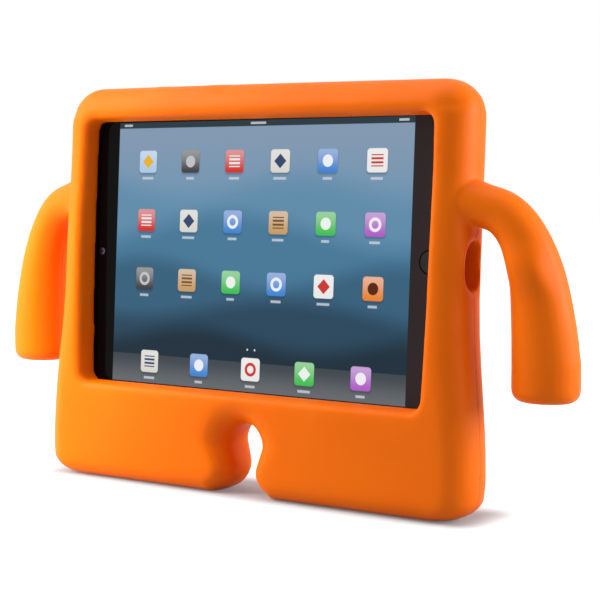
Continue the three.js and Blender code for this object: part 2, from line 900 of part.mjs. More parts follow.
function headphoneSocket() {
  const outside = -tabletLength / 2 + 0.3;
  const place = shifted(alongX, 0, jackAxisDepth, jackCentre);
  const inside = -innerHalfLength + seat;
  const nose = block(jackHole / 2, jackHole / 2, jackHole / 2, inside + jackLength / 2, outside, place, 5);
  const holder = block(
    bracketAxisDepth - glassSeat - seat,
    jackBody / 2 + 0.6,
    0.8,
    inside + jackLength,
    -innerHalfLength + socketBackset,
    shifted(alongX, 0, bracketAxisDepth, jackCentre),
  );
  const bore = jackHole / 2 - 0.4;
  const hole = block(bore, bore, bore, inside + jackLength - 1, outside - 1, place, 5);
  return cut(union(nose, holder), hole);
}

function speaker(side) {
  const halfWidth = speakerWidth / 2;
  return block(
    halfWidth,
    speakerLength / 2,
    1.5,
    glassSeat + seat + 1,
    shellFloor - seat,
    shifted(alongY, innerHalfLength - 1.2 - halfWidth, 0, side * speakerOffset),
  );
}

const batteryTop = innerHalfHeight - boardHeight - 6;
const batteryBottom = -innerHalfHeight + 5;
const batteryHalfHeight = (batteryTop - batteryBottom) / 2;

function batteryCell(side) {
  const halfLength = (displayLength / 2 - batteryGap / 2 - 2) / 2;
  return block(
    halfLength,
    batteryHalfHeight,
    2,
    displayBack + batteryFrontGap,
    shellFloor - seat,
    shifted(alongY, side * (batteryGap / 2 + halfLength), 0, (batteryTop + batteryBottom) / 2),
  );
}

const boardCentre = innerHalfHeight - 4 - boardHeight / 2;

function logicBoard() {
  return block(
    displayLength / 2 - 6,
    boardHeight / 2,
    2,
    shellFloor - seat - boardThickness,
    shellFloor - seat,
    shifted(alongY, 4, 0, boardCentre),
  );
}

function boardShield() {
  const back = shellFloor - seat - boardThickness - seat;
  return block(
    shieldLength / 2,
    boardHeight / 2 - 3,
    1.5,
    displayBack + shieldFrontGap,
    back,
    shifted(alongY, 20, 0, boardCentre),
  );
}

function displayPanel() {
  return block(
    displayLength / 2,
    displayHeight / 2,
    1,
    glassSeat,
    displayBack,
    alongY,
  );
}

const product = new THREE.Group();
const tablet = new THREE.Group();
tablet.position.z = screenCentre;
tablet.rotation.x = -lean;
product.add(tablet);

function addPiece(parent, name, body, material) {
  const mesh = new THREE.Mesh(geometryOf(body), material);
  mesh.name = name;
  parent.add(mesh);
}

const endButtonPlace = shifted(alongX, 0, sideAxisDepth, powerHeight);
const topButtonPlace = (x) => shifted(alongZ, x, sideAxisDepth, 0);
const powerButton = edgeButton(powerLength / 2, -innerHalfLength, -tabletLength / 2, endButtonPlace, true);
const volumeButton = (x) => edgeButton(
  volumeLength / 2,
  innerHalfHeight,
  tabletHeight / 2,
  topButtonPlace(x),
  false,
);
const powerBracket = bracketPlate(
  powerLength / 2 + 4,
  -innerHalfLength,
  shifted(alongX, 0, bracketAxisDepth, powerHeight),
  true,
);
const volumeBracket = bracketPlate(
  (volumePitch + volumeLength) / 2 + 4,
  innerHalfHeight,
  shifted(alongZ, volumeCentre, bracketAxisDepth, 0),
  false,
);

addPiece(product, "foam_case", foamCase(), foam);
addPiece(tablet, "tablet_shell", tabletShell(), aluminium);
addPiece(tablet, "cover_glass", coverGlass(), glass);
addPiece(tablet, "display_panel", displayPanel(), panel);
addPiece(tablet, "home_button", homeButton(), blackPlastic);
addPiece(tablet, "home_button_bracket", homeBracket(), steel);
addPiece(tablet, "front_camera", frontCamera(), blackPlastic);
addPiece(tablet, "rear_camera", rearCamera(), blackPlastic);
addPiece(tablet, "power_button", powerButton, aluminium);
addPiece(tablet, "power_button_bracket", powerBracket, steel);
addPiece(tablet, "volume_up_button", volumeButton(volumeCentre - volumePitch / 2), aluminium);
addPiece(tablet, "volume_down_button", volumeButton(volumeCentre + volumePitch / 2), aluminium);
addPiece(tablet, "volume_bracket", volumeBracket, steel);
addPiece(tablet, "charging_socket", chargingSocket(), steel);
addPiece(tablet, "headphone_socket", headphoneSocket(), blackPlastic);
addPiece(tablet, "speaker_upper", speaker(1), blackPlastic);
addPiece(tablet, "speaker_lower", speaker(-1), blackPlastic);
addPiece(tablet, "battery_cell_left", batteryCell(-1), cellWrap);
addPiece(tablet, "battery_cell_right", batteryCell(1), cellWrap);
addPiece(tablet, "logic_board", logicBoard(), circuit);
addPiece(tablet, "board_shield", boardShield(), steel);

// Centre the footprint on the origin, with the soles on the ground plane
product.updateMatrixWorld(true);
const bounds = new THREE.Box3().setFromObject(product, true);
product.position.y = -(bounds.min.y + bounds.max.y) / 2;

export default product;
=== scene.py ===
import math

import bmesh
import bpy
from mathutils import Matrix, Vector


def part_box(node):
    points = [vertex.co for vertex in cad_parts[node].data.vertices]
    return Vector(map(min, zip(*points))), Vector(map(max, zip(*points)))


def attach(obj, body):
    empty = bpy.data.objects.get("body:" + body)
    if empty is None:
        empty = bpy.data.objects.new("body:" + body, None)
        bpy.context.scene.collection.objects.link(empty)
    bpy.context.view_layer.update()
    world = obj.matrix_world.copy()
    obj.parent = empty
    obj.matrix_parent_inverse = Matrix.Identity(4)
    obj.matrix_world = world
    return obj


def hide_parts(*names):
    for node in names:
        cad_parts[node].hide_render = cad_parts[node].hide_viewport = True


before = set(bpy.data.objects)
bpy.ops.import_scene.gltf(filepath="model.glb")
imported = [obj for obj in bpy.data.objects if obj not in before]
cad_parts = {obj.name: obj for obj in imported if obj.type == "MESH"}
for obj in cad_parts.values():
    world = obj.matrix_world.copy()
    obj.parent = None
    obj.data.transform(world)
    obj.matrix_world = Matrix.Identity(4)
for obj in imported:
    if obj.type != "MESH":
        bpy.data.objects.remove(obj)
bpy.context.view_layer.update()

# Camera: stands to the right of the screen's centre, a little above it, and looks
# slightly past the tablet so that the right-hand side wall shows.
LEAN = math.radians(3.44)
GLASS_HALF_THICKNESS = 0.00045
CAMERA_RIGHT = 0.4257
CAMERA_BACK = 0.5778
CAMERA_RISE = 0.0353
LINE_OF_SIGHT = Vector((-0.5685, 0.8192, -0.0760))
screen_centre = sum(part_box("cover_glass"), Vector()) / 2
SCREEN_Y = screen_centre.y - GLASS_HALF_THICKNESS
SCREEN_Z = screen_centre.z

camera = bpy.data.objects.new("camera", bpy.data.cameras.new("camera"))
bpy.context.scene.collection.objects.link(camera)
bpy.context.scene.camera = camera
camera.data.lens = 97.5
camera.data.sensor_width = 36.0
camera.location = (CAMERA_RIGHT, SCREEN_Y - CAMERA_BACK, SCREEN_Z + CAMERA_RISE)
camera.rotation_mode = "QUATERNION"
camera.rotation_quaternion = LINE_OF_SIGHT.to_track_quat("-Z", "Y")
bpy.context.scene.view_settings.view_transform = "Standard"


# Floor and backdrop: a white studio sweep. Away from the object it shows plain white to
# the camera and in reflections, and under the object it keeps the soft shadow.
class Field:
    """A wrapped shader socket: each operator adds the Math node that it stands for."""

    def __init__(self, tree, socket):
        self.tree = tree
        self.socket = socket

    def math(self, operation, *others):
        return self.node("ShaderNodeMath", {"operation": operation}, [self, *others])

    def node(self, kind, settings, inputs, output=0):
        made = self.tree.nodes.new(kind)
        for name, value in settings.items():
            if name == "stops":
                ramp = made.color_ramp
                while len(ramp.elements) < len(value):
                    ramp.elements.new(0.5)
                for element, (position, colour) in zip(ramp.elements, value):
                    element.position = position
                    element.color = colour
            elif name == "blend":
                made.color_ramp.interpolation = value
            else:
                setattr(made, name, value)
        pairs = inputs.items() if isinstance(inputs, dict) else enumerate(inputs)
        for key, value in pairs:
            if isinstance(value, Field):
                self.tree.links.new(value.socket, made.inputs[key])
            else:
                made.inputs[key].default_value = value
        return Field(self.tree, made.outputs[output])

    def __add__(self, other):
        return self.math("ADD", other)

    __radd__ = __add__

    def __mul__(self, other):
        return self.math("MULTIPLY", other)

    __rmul__ = __mul__

    def __sub__(self, other):
        return self.math("SUBTRACT", other)

    def __rsub__(self, other):
        return self * -1.0 + other

    def __truediv__(self, other):
        return self.math("DIVIDE", other)

    def __abs__(self):
        return self.math("ABSOLUTE")

    def step(self, start, end):
        """Smooth ramp from 0 at start to 1 at end."""
        settings = {"interpolation_type": "SMOOTHSTEP"}
        return self.node("ShaderNodeMapRange", settings, [self, start, end, 0.0, 1.0])

    def mix(self, low, high):
        """Colour low where this field is 0 and high where it is 1."""
        return self.node("ShaderNodeMix", {"data_type": "RGBA"}, {0: self, 6: low, 7: high}, 2)


def srgb(red, green, blue):
    """Linear colour of an 8-bit screen colour."""
    def channel(value):
        share = value / 255
        return share / 12.92 if share <= 0.04045 else ((share + 0.055) / 1.055) ** 2.4
    return (channel(red), channel(green), channel(blue), 1.0)


def new_material(name):
    """A material, its shader, and the object position that its patterns are read from."""
    material = bpy.data.materials.new(name)
    material.use_nodes = True
    tree = material.node_tree
    place = tree.nodes.new("ShaderNodeTexCoord")
    return material, tree.nodes["Principled BSDF"], Field(tree, place.outputs["Object"])


def feed(shader, name, value):
    """Links a field to a socket of the shader, or sets the socket's own value."""
    if isinstance(value, Field):
        value.tree.links.new(value.socket, shader.inputs[name])
    else:
        shader.inputs[name].default_value = value


def along(place, axis):
    """The part of a position that lies along one axis: 0 for x, 1 for y, 2 for z."""
    return place.node("ShaderNodeSeparateXYZ", {}, [place], axis)


def seen_directly(tree):
    """1 for camera, mirror and glass rays, 0 for the rays that carry light."""
    path = tree.nodes.new("ShaderNodeLightPath")
    rays = [Field(tree, path.outputs[f"Is {kind} Ray"]) for kind in ("Camera", "Glossy", "Transmission")]
    return rays[0].math("MAXIMUM", rays[1]).math("MAXIMUM", rays[2])


FLOOR_HALF = 4.0
FLOOR_LIFT = 0.12
FLOOR_TONE = (0.43, 0.45, 0.47, 1.0)
FOOT_HALF_LENGTH = 0.106
FOOT_HALF_DEPTH = 0.012
SHADOW_REACH = 0.024


def sweep():
    material, shader, place = new_material("sweep_paper")
    past_x = (abs(along(place, 0)) - FOOT_HALF_LENGTH).math("MAXIMUM", 0.0)
    past_y = (abs(along(place, 1)) - FOOT_HALF_DEPTH).math("MAXIMUM", 0.0)
    away = (past_x * past_x + past_y * past_y).math("SQRT").step(0.0, SHADOW_REACH)
    glow = (away * (1.0 - FLOOR_LIFT) + FLOOR_LIFT) * seen_directly(place.tree)
    feed(shader, "Base Color", FLOOR_TONE)
    feed(shader, "Roughness", 0.9)
    feed(shader, "Specular IOR Level", 0.0)
    feed(shader, "Emission Color", glow.mix((0.0, 0.0, 0.0, 1.0), (1.0, 1.0, 1.0, 1.0)))
    feed(shader, "Emission Strength", 1.0)
    work = bmesh.new()
    bmesh.ops.create_grid(work, x_segments=1, y_segments=1, size=FLOOR_HALF)
    mesh = bpy.data.meshes.new("sweep")
    work.to_mesh(mesh)
    work.free()
    mesh.materials.append(material)
    floor = bpy.data.objects.new("sweep", mesh)
    bpy.context.scene.collection.objects.link(floor)


sweep()


# Lights: a soft key and a small near one at the left front, a box overhead, a rim light from
# the right and behind, a weak one at the right end, and a dim white room. A wide soft spot
# lights the left end alone, where the photograph is much brighter.
OBJECT_MIDDLE = (0.0, 0.0, 0.09)


def hang_lamp(light, place, target, mirrored):
    lamp = bpy.data.objects.new(light.name, light)
    bpy.context.scene.collection.objects.link(lamp)
    lamp.location = place
    lamp.rotation_mode = "QUATERNION"
    lamp.rotation_quaternion = (Vector(target) - Vector(place)).to_track_quat("-Z", "Y")
    lamp.visible_glossy = mirrored


def soft_box(name, place, size, power, mirrored=True):
    light = bpy.data.lights.new(name, "AREA")
    light.shape = "SQUARE"
    light.size = size
    light.energy = power
    hang_lamp(light, place, OBJECT_MIDDLE, mirrored)


def left_lamp(place, target, power, cone, radius):
    light = bpy.data.lights.new("left_lamp", "SPOT")
    light.energy = power
    light.spot_size = math.radians(cone)
    light.spot_blend = 1.0
    light.shadow_soft_size = radius
    hang_lamp(light, place, target, mirrored=False)


soft_box("key", (-0.54, -0.3, 0.6), size=0.45, power=3.2)
soft_box("near_key", (-0.32, -0.2, 0.15), size=0.25, power=1.25, mirrored=False)
soft_box("overhead", (-0.05, -0.05, 0.85), size=0.6, power=3.0)
soft_box("rim", (0.8, 0.42, 0.35), size=0.45, power=7.0)
soft_box("side", (0.78, 0.0, 0.25), size=0.2, power=0.9)
left_lamp((-0.38, -0.6, 0.3), target=(-0.22, 0.0, 0.08), power=40.0, cone=28.0, radius=0.12)
ROOM_LIGHT = 0.3


def light_room():
    room = bpy.data.worlds.new("studio")
    bpy.context.scene.world = room
    room.use_nodes = True
    background = room.node_tree.nodes["Background"]
    strength = seen_directly(room.node_tree) * (1.0 - ROOM_LIGHT) + ROOM_LIGHT
    background.inputs["Color"].default_value = (1.0, 1.0, 1.0, 1.0)
    room.node_tree.links.new(strength.socket, background.inputs["Strength"])


light_room()


# Foam case: one moulding of closed-cell foam with a fine matt skin. Every edge is rounded
# over, and the mould's two halves leave a fine groove round the sides and along the arms.
SKIN_DEPTH = 8
SKIN_SCALE = 0.93
SKIN_PASSES = 5
# The parting groove, and where the arms leave the body above the legs.
PARTING_DEPTH = 0.0044
GROOVE_HALF = 0.0004
GROOVE_DEPTH = 0.00032
ARM_START = 0.1083
ARM_START_HEIGHT = 0.1296
ARM_PARTING_SLOPE = 0.16
GAP_TOP = 0.112
LEG_REACH = 0.1185
END_FACE = 0.1045
GROOVE_SEARCH = 0.005
# The volume slot's place and reach; its depths run from the glass's front towards the back.
SLOT_X = -0.039
SLOT_STRAIGHT = 0.0083
SLOT_HALF = 0.0037
SLOT_DEPTH = 0.0033
SLOT_MOUTH = 0.013
SLOT_FADE = 0.006
SLOT_AHEAD = 0.009
SLOT_EDGE = 0.0002
SLOT_BOTTOM = 0.1765
# The top edge: its rounding, and how far it is raised or lowered along its length.
EDGE_RADIUS = 0.012
EDGE_START = 0.001
CASE_TOP = 0.181
CROWN_START = 0.16
CROWN_RISE = 0.0009
CROWN_LEVEL_X = 0.06
CROWN_WAVE = 0.1
CROWN_HALF_LENGTH = 0.105
# The port hole's centre, how far round it the mouth is redrawn, and by how much.
PORT_Y = 0.00106
PORT_Z = 0.1041
PORT_FRONT = 0.006
PORT_FADE = 0.007
PORT_REACH = 0.014
PORT_WIDENING = 0.0023
PORT_INNER = 0.1005
PORT_OUTER = 0.104


def noise(place, scale, detail=2.0, roughness=0.5):
    inputs = {"Vector": place, "Scale": scale, "Detail": detail, "Roughness": roughness}
    return place.node("ShaderNodeTexNoise", {}, inputs)


def bump(place, height, distance, strength=1.0):
    inputs = {"Strength": strength, "Distance": distance, "Height": height}
    return place.node("ShaderNodeBump", {}, inputs)


def merged_copy(node, name):
    work = bmesh.new()
    work.from_mesh(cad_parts[node].data)
    bmesh.ops.remove_doubles(work, verts=work.verts, dist=1e-6)
    mesh = bpy.data.meshes.new(name)
    work.to_mesh(mesh)
    work.free()
    piece = bpy.data.objects.new(name, mesh)
    bpy.context.scene.collection.objects.link(piece)
    return piece


def apply_modifiers(piece):
    depsgraph = bpy.context.evaluated_depsgraph_get()
    finished = bpy.data.meshes.new_from_object(piece.evaluated_get(depsgraph))
    piece.modifiers.clear()
    old = piece.data
    piece.data = finished
    bpy.data.meshes.remove(old)


def on_arm(point):
    out = abs(point.x)
    return out > LEG_REACH or (out > ARM_START and point.z > GAP_TOP)


def on_outside(point):
    return abs(point.x) > END_FACE or point.z > SLOT_BOTTOM


def press_groove(work, point, normal, belongs):
    """Cuts three loops along a plane and presses the middle one into the skin."""
    for offset in (-GROOVE_HALF, 0.0, GROOVE_HALF):
        plane_point = point + normal * offset
        faces = [f for f in work.faces if belongs(f.calc_center_median())]
        faces = [f for f in faces if abs((f.verts[0].co - plane_point).dot(normal)) < GROOVE_SEARCH]
        edges = {e for f in faces for e in f.edges}
        corners = {v for f in faces for v in f.verts}
        bmesh.ops.bisect_plane(
            work, geom=[*corners, *edges, *faces], dist=1e-7, plane_co=plane_point, plane_no=normal,
        )
    work.normal_update()
    for v in work.verts:
        on_plane = abs((v.co - point).dot(normal)) < 1e-6
        if on_plane and belongs(v.co) and on_outside(v.co):
            v.co -= v.normal * GROOVE_DEPTH


def fill_slot_rim(piece):
    """Rounds the top edge over again in front of the volume slot, whose mouth had bitten into it."""
    work = bmesh.new()
    work.from_mesh(piece.data)
    touched = []
    for v in work.verts:
        depth = v.co.y - SCREEN_Y - (v.co.z - SCREEN_Z) * math.tan(LEAN)
        across = max(0.0, abs(v.co.x - SLOT_X) - SLOT_STRAIGHT)
        from_hole = math.hypot(across, depth - SLOT_DEPTH) - SLOT_HALF
        near = from_hole < SLOT_MOUTH and -SLOT_AHEAD < depth < SLOT_DEPTH and v.co.z > SLOT_BOTTOM
        if not near or from_hole < SLOT_EDGE:
            continue
        drop = math.sqrt(EDGE_RADIUS ** 2 - min(0.0, depth - EDGE_START) ** 2)
        crown = CASE_TOP - EDGE_RADIUS + drop
        fill = min(1.0, max(0.0, (SLOT_DEPTH - depth) / (SLOT_DEPTH - EDGE_START)))
        fill *= min(1.0, (SLOT_MOUTH - from_hole) / SLOT_FADE)
        if v.co.z < crown:
            v.co.z += (crown - v.co.z) * fill
            touched.append(v)
    only_up = {"use_axis_x": False, "use_axis_y": False, "use_axis_z": True}
    for turn in range(2):
        bmesh.ops.smooth_vert(work, verts=touched, factor=0.4, **only_up)
    work.to_mesh(piece.data)
    work.free()


def level_crown(piece):
    """Raises the top edge slightly at the left and lowers it at the right, to follow the outline."""
    for v in piece.data.vertices:
        share = (v.co.z - CROWN_START) / (CASE_TOP - CROWN_START)
        if share > 0.0 and abs(v.co.x) < CROWN_HALF_LENGTH:
            v.co.z += share * CROWN_RISE * math.sin((CROWN_LEVEL_X - v.co.x) / CROWN_WAVE)


def widen_port(piece):
    """Draws the front edge of the port hole's mouth forward, so that the mouth is oval."""
    for v in piece.data.vertices:
        ahead = PORT_Y - v.co.y
        up = abs(v.co.z - PORT_Z)
        if v.co.x < PORT_INNER or up > PORT_REACH or not 0.0 < ahead < PORT_FRONT + PORT_FADE:
            continue
        share = min(1.0, ahead / PORT_FRONT, (PORT_FRONT + PORT_FADE - ahead) / PORT_FADE)
        share *= share * (3.0 - 2.0 * share) * math.cos(up / PORT_REACH * math.pi / 2) ** 2
        share *= min(1.0, (v.co.x - PORT_INNER) / (PORT_OUTER - PORT_INNER))
        v.co.y -= share * PORT_WIDENING


def part_line(piece):
    work = bmesh.new()
    work.from_mesh(piece.data)
    body_point = Vector((0.0, SCREEN_Y + PARTING_DEPTH, SCREEN_Z))
    body_normal = Vector((0.0, math.cos(LEAN), -math.sin(LEAN)))
    press_groove(work, body_point, body_normal, lambda p: not on_arm(p))
    root_y = SCREEN_Y + PARTING_DEPTH + (ARM_START_HEIGHT - SCREEN_Z) * math.tan(LEAN)
    for side in (-1.0, 1.0):
        arm_point = Vector((side * ARM_START, root_y, ARM_START_HEIGHT))
        arm_normal = Vector((-side * ARM_PARTING_SLOPE, 1.0, 0.0)).normalized()
        press_groove(work, arm_point, arm_normal, lambda p: on_arm(p) and p.x * side > 0)
    work.to_mesh(piece.data)
    work.free()


def foam_material():
    material, shader, place = new_material("moulded_foam")
    cloud = noise(place, scale=22.0, detail=3.0)
    grain = noise(place, scale=900.0, detail=3.0, roughness=0.6)
    pores = noise(place, scale=260.0, detail=2.0)
    colour = cloud.step(0.35, 0.7).mix(srgb(242, 107, 2), srgb(246, 112, 4))
    feed(shader, "Base Color", colour)
    feed(shader, "Roughness", grain * 0.1 + pores * 0.06 + 0.36)
    feed(shader, "Specular IOR Level", 0.11)
    feed(shader, "Normal", bump(place, grain * 0.6 + pores * 0.4, distance=0.0002, strength=0.3))
    return material


foam_case = merged_copy("foam_case", "foam_case_moulding")
remesh = foam_case.modifiers.new("even_skin", "REMESH")
remesh.mode = "SHARP"
remesh.octree_depth = SKIN_DEPTH
remesh.scale = SKIN_SCALE
smooth = foam_case.modifiers.new("soft_edges", "SMOOTH")
smooth.factor = 0.5
smooth.iterations = SKIN_PASSES
apply_modifiers(foam_case)
fill_slot_rim(foam_case)
level_crown(foam_case)
widen_port(foam_case)
part_line(foam_case)
foam_case.data.shade_smooth()
foam_case.data.materials.clear()
foam_case.data.materials.append(foam_material())
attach(foam_case, "case_with_tablet")
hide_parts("foam_case")


# Cover glass: one sheet over the whole front, black-printed round the lit area. The lit
# area shows a generic home page: hills at dusk, plain tiles, and a grey shelf.
MM = 0.001
LIT_HALF_LENGTH = 80.25
LIT_HALF_HEIGHT = 60.2
STRIP_HEIGHT = 2.7
SHELF_HEIGHT = 13.0
TILE_HALF = 5.1
TILE_CORNER = 1.5
BAR_PITCH = 1.7
CAPTION_DROP = 7.6
EDGE_SOFT = 0.1
CLOCK_HALF = 4.0
STATUS_U = 75.0
DOTS_HALF_GAP = 2.0
DOTS_V = -41.5
EYE_U = -89.0
BLACK = (0.0, 0.0, 0.0, 1.0)
TILE_TONES = [
    (srgb(66, 196, 84), srgb(240, 246, 240)),
    (srgb(222, 219, 212), srgb(56, 74, 112)),
    (srgb(176, 206, 238), srgb(236, 182, 50)),
    (srgb(238, 238, 236), srgb(206, 58, 50)),
    (srgb(202, 160, 104), srgb(122, 82, 42)),
    (srgb(214, 52, 46), srgb(238, 238, 236)),
    (srgb(178, 96, 202), srgb(246, 240, 248)),
    (srgb(66, 136, 214), srgb(240, 244, 250)),
    (srgb(66, 66, 70), srgb(196, 198, 202)),
    (srgb(236, 134, 44), srgb(90, 40, 20)),
]
HILLS = [
    (30.0, 5.0, 0.05, 0.4, 9.0, srgb(98, 143, 174)),
    (12.0, 7.0, 0.037, 2.1, 7.0, srgb(74, 124, 156)),
    (-8.0, 6.0, 0.046, 4.4, 6.0, srgb(58, 100, 128)),
    (-24.0, 5.0, 0.034, 0.9, 6.0, srgb(44, 74, 96)),
    (-37.0, 4.0, 0.052, 3.2, 6.0, srgb(32, 50, 63)),
]


def dress(node, material):
    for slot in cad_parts[node].material_slots:
        slot.material = material


def rounded_square(u, v, half, corner, soft):
    """1 inside a square with rounded corners, 0 outside it."""
    reach_u = (abs(u) - (half - corner)).math("MAXIMUM", 0.0)
    reach_v = (abs(v) - (half - corner)).math("MAXIMUM", 0.0)
    away = (reach_u * reach_u + reach_v * reach_v).math("SQRT")
    return away.step(corner + soft, corner - soft)


def hills_picture(u, v):
    picture = v.step(15.0, 60.0).mix(srgb(112, 152, 182), srgb(134, 156, 180))
    for height, swing, wave, phase, soft, tone in HILLS:
        ridge = (u * wave + phase).math("SINE") * swing + height
        picture = (v - ridge).step(soft, -soft).mix(picture, tone)
    return picture


def tile_rows(picture, u, v, columns, rows, pitch, centre_v, seed):
    """Lays a grid of plain tiles with simple motifs over the picture."""
    pitch_u, pitch_v = pitch
    column = (u / pitch_u + columns / 2).math("FLOOR")
    row = ((v - centre_v) / pitch_v + rows / 2).math("FLOOR")
    du = u - (column - (columns - 1) / 2) * pitch_u
    dv = v - centre_v - (row - (rows - 1) / 2) * pitch_v
    inside = abs(column - (columns - 1) / 2).math("LESS_THAN", columns / 2)
    inside = inside * abs(row - (rows - 1) / 2).math("LESS_THAN", rows / 2)
    index = column + row * columns + seed
    tone = (index * 0.618).math("FRACT")
    kind = (index * 0.37 + 0.213).math("FRACT")
    stops = [(i / len(TILE_TONES), pair) for i, pair in enumerate(TILE_TONES)]
    settings = {"blend": "CONSTANT", "stops": [(at, pair[0]) for at, pair in stops]}
    ground = tone.node("ShaderNodeValToRGB", settings, [tone])
    settings = {"blend": "CONSTANT", "stops": [(at, pair[1]) for at, pair in stops]}
    mark = tone.node("ShaderNodeValToRGB", settings, [tone])
    radius = (du * du + dv * dv).math("SQRT")
    bars = abs((dv / BAR_PITCH).math("FRACT") - 0.5).step(0.32, 0.22)
    bars = bars * abs(du).step(3.1, 2.9) * abs(dv).step(2.7, 2.5)
    motifs = [
        radius.step(2.8, 2.5),
        abs(radius - 2.4).step(0.8, 0.55),
        bars,
        (abs(du) + abs(dv)).step(3.4, 3.1),
    ]
    drawn = 0.0
    for i, motif in enumerate(motifs):
        above = kind.math("GREATER_THAN", i / len(motifs))
        chosen = above * kind.math("LESS_THAN", (i + 1) / len(motifs))
        drawn = motif * chosen + drawn
    shade = rounded_square(du, dv + 0.7, TILE_HALF, TILE_CORNER, 1.0) * inside * 0.45
    picture = shade.mix(picture, srgb(14, 20, 28))
    lit = (dv.step(-TILE_HALF, TILE_HALF) * 0.3).mix(ground, srgb(250, 250, 250))
    tile = drawn.mix(lit, mark)
    picture = (rounded_square(du, dv, TILE_HALF, TILE_CORNER, 0.2) * inside).mix(picture, tile)
    caption = abs(du).step(kind * 1.6 + 2.2, kind * 1.6 + 1.8) * abs(dv + CAPTION_DROP).step(0.75, 0.35)
    return (caption * inside * 0.7).mix(picture, srgb(214, 222, 230))


def status_strip(picture, u, v):
    """Lays the dark strip along the top edge, with plain bars at its middle and ends."""
    foot = LIT_HALF_HEIGHT - STRIP_HEIGHT
    picture = v.step(foot - 0.15, foot + 0.15).mix(picture, srgb(45, 60, 68))
    height = abs(v - (LIT_HALF_HEIGHT - STRIP_HEIGHT / 2)).step(0.65, 0.35)
    ends = abs(abs(u) - STATUS_U).step(2.6, 2.3)
    marks = height * (abs(u) - CLOCK_HALF).step(0.3, 0.0).math("MAXIMUM", ends)
    return (marks * 0.8).mix(picture, srgb(205, 212, 218))


def shelf_and_dots(picture, u, v):
    """Lays the grey shelf along the bottom edge and the two page dots above it."""
    top = -LIT_HALF_HEIGHT + SHELF_HEIGHT
    tone = v.step(-LIT_HALF_HEIGHT, top).mix(srgb(104, 108, 112), srgb(66, 74, 80))
    picture = v.step(top + 0.2, top - 0.2).mix(picture, tone)
    dot_u = abs(abs(u) - DOTS_HALF_GAP)
    dot_v = v - DOTS_V
    dots = (dot_u * dot_u + dot_v * dot_v).math("SQRT").step(0.6, 0.35)
    return (dots * 0.85).mix(picture, srgb(226, 232, 238))


def border_print_and_reflection(u, v):
    """The black print round the lit area, painted lighter towards the right as a painted reflection,
    with the front camera's dark lens at its left end and a painted highlight arc on the lens's right
    side.
    """
    eye_u = u - EYE_U
    eye = (eye_u * eye_u + v * v).math("SQRT")
    # painted reflection: the black print is painted lighter from left to right
    print_and_reflection = u.step(-60.0, 95.0).mix(srgb(6, 5, 5), srgb(48, 42, 42))
    print_and_reflection = eye.step(1.9, 1.6).mix(print_and_reflection, srgb(30, 26, 32))
    # painted highlight: a pale arc on the right half of the camera lens
    ring = abs(eye - 1.1).step(0.45, 0.2) * eye_u.step(-0.6, 0.4)
    return ring.mix(print_and_reflection, srgb(92, 78, 96))


def screen_material():
    material, shader, place = new_material("screen_glass")
    u = along(place, 0) / MM
    v = (along(place, 2) - SCREEN_Z) / (MM * math.cos(LEAN))
    picture = status_strip(hills_picture(u, v), u, v)
    picture = shelf_and_dots(picture, u, v)
    picture = tile_rows(picture, u, v, columns=6, rows=3, pitch=(25.0, 27.0), centre_v=15.0, seed=3.0)
    picture = tile_rows(picture, u, v, columns=5, rows=1, pitch=(29.0, 17.0), centre_v=-50.2, seed=31.0)
    lit = abs(u).step(LIT_HALF_LENGTH + EDGE_SOFT, LIT_HALF_LENGTH - EDGE_SOFT)
    lit = lit * abs(v).step(LIT_HALF_HEIGHT + EDGE_SOFT, LIT_HALF_HEIGHT - EDGE_SOFT)
    feed(shader, "Base Color", lit.mix(border_print_and_reflection(u, v), srgb(4, 4, 5)))
    smear = noise(place, scale=35.0, detail=3.0)
    feed(shader, "Roughness", smear * 0.06 + 0.05)
    feed(shader, "Specular IOR Level", 0.05)
    feed(shader, "Emission Color", lit.mix(BLACK, picture))
    feed(shader, "Emission Strength", 0.95)
    return material


dress("cover_glass", screen_material())


# Home button: a dished black disc in the glass, seated on a flange behind it and lifted
# by the contact bracket.
def home_button_material():
    material, shader, place = new_material("home_button_black")
    middle = sum(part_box("home_button"), Vector()) / 2
    out = along(place, 0) - middle.x
    up = along(place, 2) - middle.z
    radius = (out * out + up * up).math("SQRT") / MM
    grain = noise(place, scale=1500.0, detail=2.0)
    # painted reflection: the dish is painted lighter in the middle than in a ring round its rim
    feed(shader, "Base Color", radius.step(4.2, 4.7).mix(srgb(33, 30, 30), srgb(14, 12, 12)))
    feed(shader, "Roughness", grain * 0.08 + 0.22)
    feed(shader, "Specular IOR Level", 0.2)
    feed(shader, "Normal", bump(place, grain, distance=0.00002, strength=0.3))
    return material


dress("home_button", home_button_material())


# Tablet shell and its edge buttons: milled aluminium, bead-blasted and anodised, so the
# surface is evenly matt with a very fine grit.
def blasted_aluminium():
    material, shader, place = new_material("blasted_aluminium")
    grit = noise(place, scale=2600.0, detail=2.0, roughness=0.6)
    drift = noise(place, scale=40.0, detail=2.0)
    feed(shader, "Base Color", drift.step(0.35, 0.65).mix(srgb(184, 186, 190), srgb(198, 200, 203)))
    feed(shader, "Metallic", 1.0)
    feed(shader, "Roughness", grit * 0.14 + 0.32)
    feed(shader, "Normal", bump(place, grit, distance=0.00004, strength=0.4))
    return material


aluminium = blasted_aluminium()
for node in ("tablet_shell", "power_button", "volume_up_button", "volume_down_button"):
    dress(node, aluminium)


